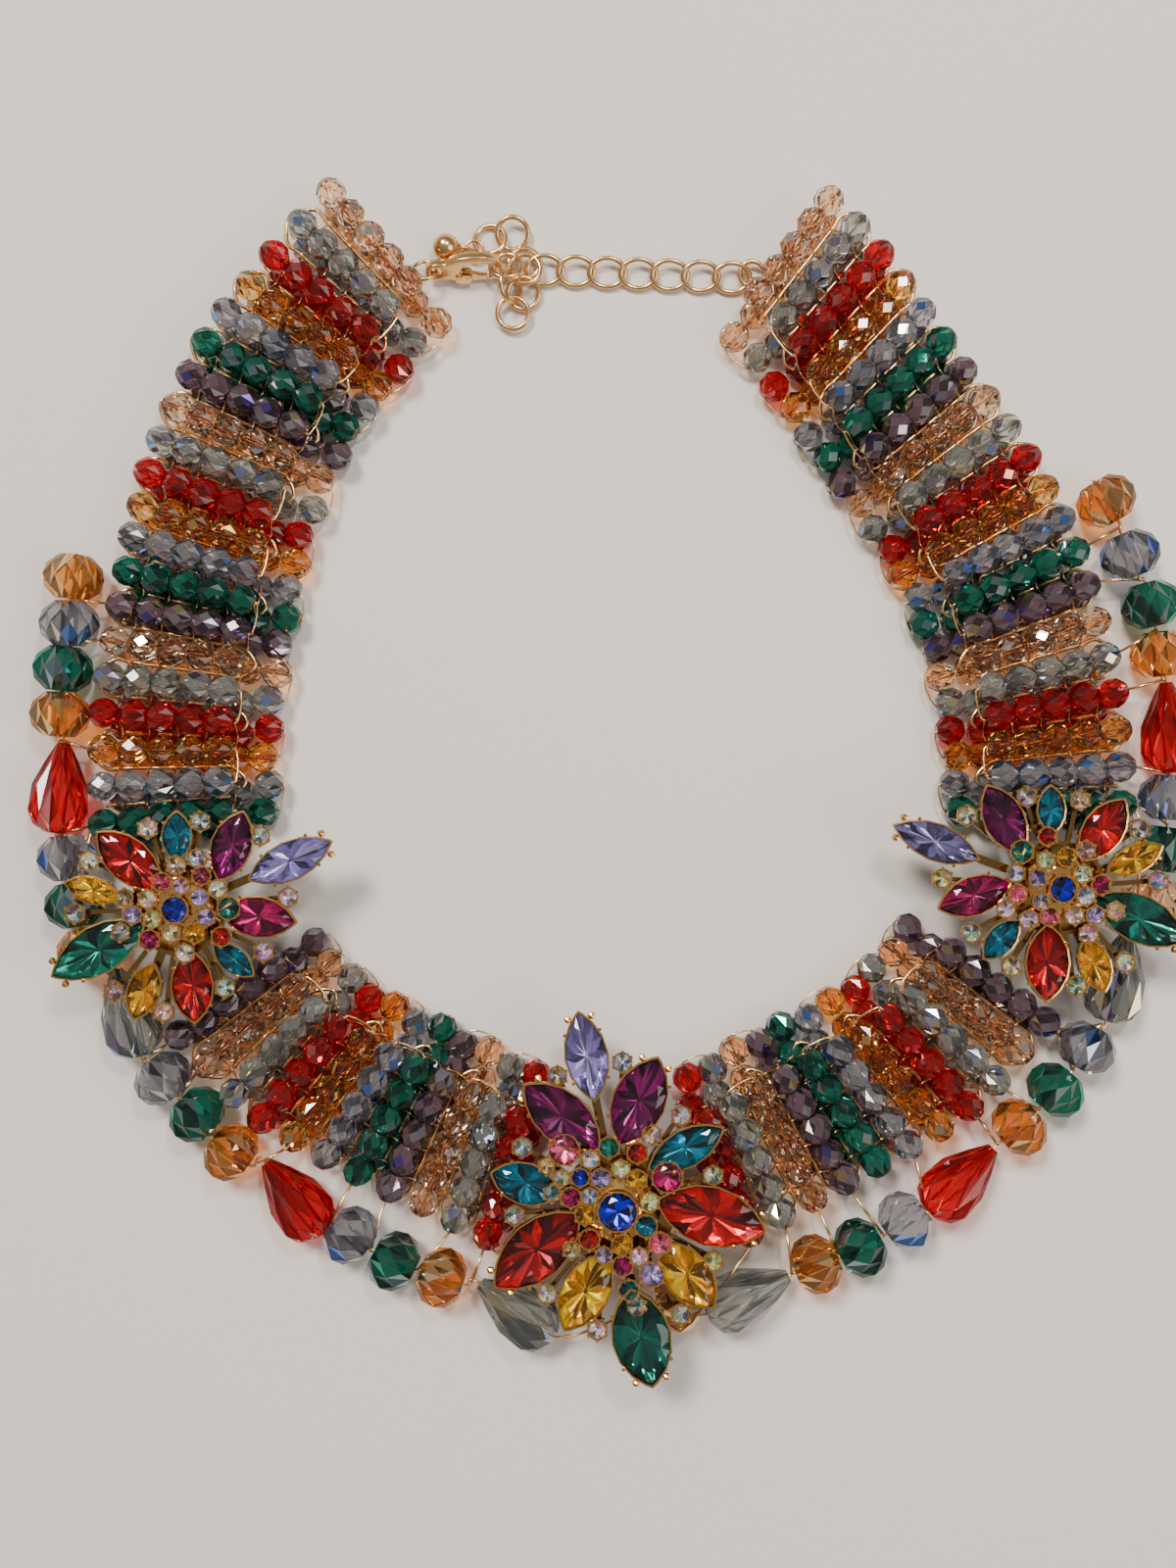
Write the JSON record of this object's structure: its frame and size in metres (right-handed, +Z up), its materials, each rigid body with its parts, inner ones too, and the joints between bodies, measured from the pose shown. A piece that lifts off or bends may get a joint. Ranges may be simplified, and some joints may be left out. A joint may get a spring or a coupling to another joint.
{
  "type": "bib necklace",
  "caption": "Wide bib collar of faceted glass beads in rows on wire, with three jewelled flowers, a fringe of glass drops, an extender chain and a lobster clasp.",
  "frame": {"origin": "on the surface it lies on, under the middle of its bounding box", "axes": "+Z up from the surface, +Y from the centre flower towards the clasp, +X towards the end that carries the extender chain"},
  "size_m": [0.2254, 0.2268, 0.0173],
  "materials": {
    "gold_wire": "bright light-gold plated wire",
    "gold_cast": "polished light-gold plated casting",
    "mixed_bead_glass": "faceted crystal beads in seven colours with a faint iridescent coat",
    "champagne_glass": "faceted pale peach crystal",
    "smoke_glass": "faceted grey-green smoky crystal",
    "steel_glass": "faceted pale blue-grey crystal with a blue iridescent coat",
    "red_glass": "faceted clear red crystal",
    "amber_glass": "faceted amber crystal",
    "green_glass": "faceted dark emerald crystal",
    "set_stones": "foil-backed cut stones in ruby, emerald, amethyst, lavender, citrine, teal and cobalt, and clear iridescent chatons, in gold settings"
  },
  "bodies": {
    "necklace": {"beads_1_left": "mixed_bead_glass", "beads_2_left": "mixed_bead_glass", "beads_3_left": "mixed_bead_glass", "beads_4_left": "mixed_bead_glass", "beads_5_left": "mixed_bead_glass", "wire_upper_left": "gold_wire", "wire_lower_left": "gold_wire", "beads_1_right": "mixed_bead_glass", "beads_2_right": "mixed_bead_glass", "beads_3_right": "mixed_bead_glass", "beads_4_right": "mixed_bead_glass", "beads_5_right": "mixed_bead_glass", "wire_upper_right": "gold_wire", "wire_lower_right": "gold_wire", "drop_left_01": "amber_glass", "drop_left_02": "steel_glass", "drop_left_03": "green_glass", "drop_left_04": "amber_glass", "drop_left_05": "red_glass", "drop_left_06": "steel_glass", "drop_left_07": "green_glass", "drop_left_08": "amber_glass", "drop_left_09": "smoke_glass", "drop_left_10": "steel_glass", "drop_left_11": "green_glass", "drop_left_12": "amber_glass", "drop_left_13": "red_glass", "drop_left_14": "steel_glass", "drop_left_15": "green_glass", "drop_left_16": "amber_glass", "drop_left_17": "smoke_glass", "drop_centre_01": "amber_glass", "drop_right_01": "amber_glass", "drop_right_02": "steel_glass", "drop_right_03": "green_glass", "drop_right_04": "amber_glass", "drop_right_05": "red_glass", "drop_right_06": "steel_glass", "drop_right_07": "green_glass", "drop_right_08": "champagne_glass", "drop_right_09": "smoke_glass", "drop_right_10": "steel_glass", "drop_right_11": "green_glass", "drop_right_12": "amber_glass", "drop_right_13": "red_glass", "drop_right_14": "steel_glass", "drop_right_15": "green_glass", "drop_right_16": "amber_glass", "drop_right_17": "smoke_glass", "flower_left": "set_stones", "flower_centre": "set_stones", "flower_right": "set_stones", "clasp_body": "gold_cast", "clasp_ring": "gold_wire", "extender_chain": "gold_wire", "chain_ball": "gold_cast"},
    "clasp_lever": {"clasp_lever": "gold_cast"}
  },
  "joints": [
    {"name": "lever_hinge", "type": "hinge", "parent": "necklace", "child": "clasp_lever", "pos_m": [-0.02861, 0.09782, 0.00173], "axis": [0.0616, -0.8808, 0.4695], "range_deg": [0, 24], "stiffness_Nm_per_rad": 0.01, "springref_deg": -17.19}
  ]
}
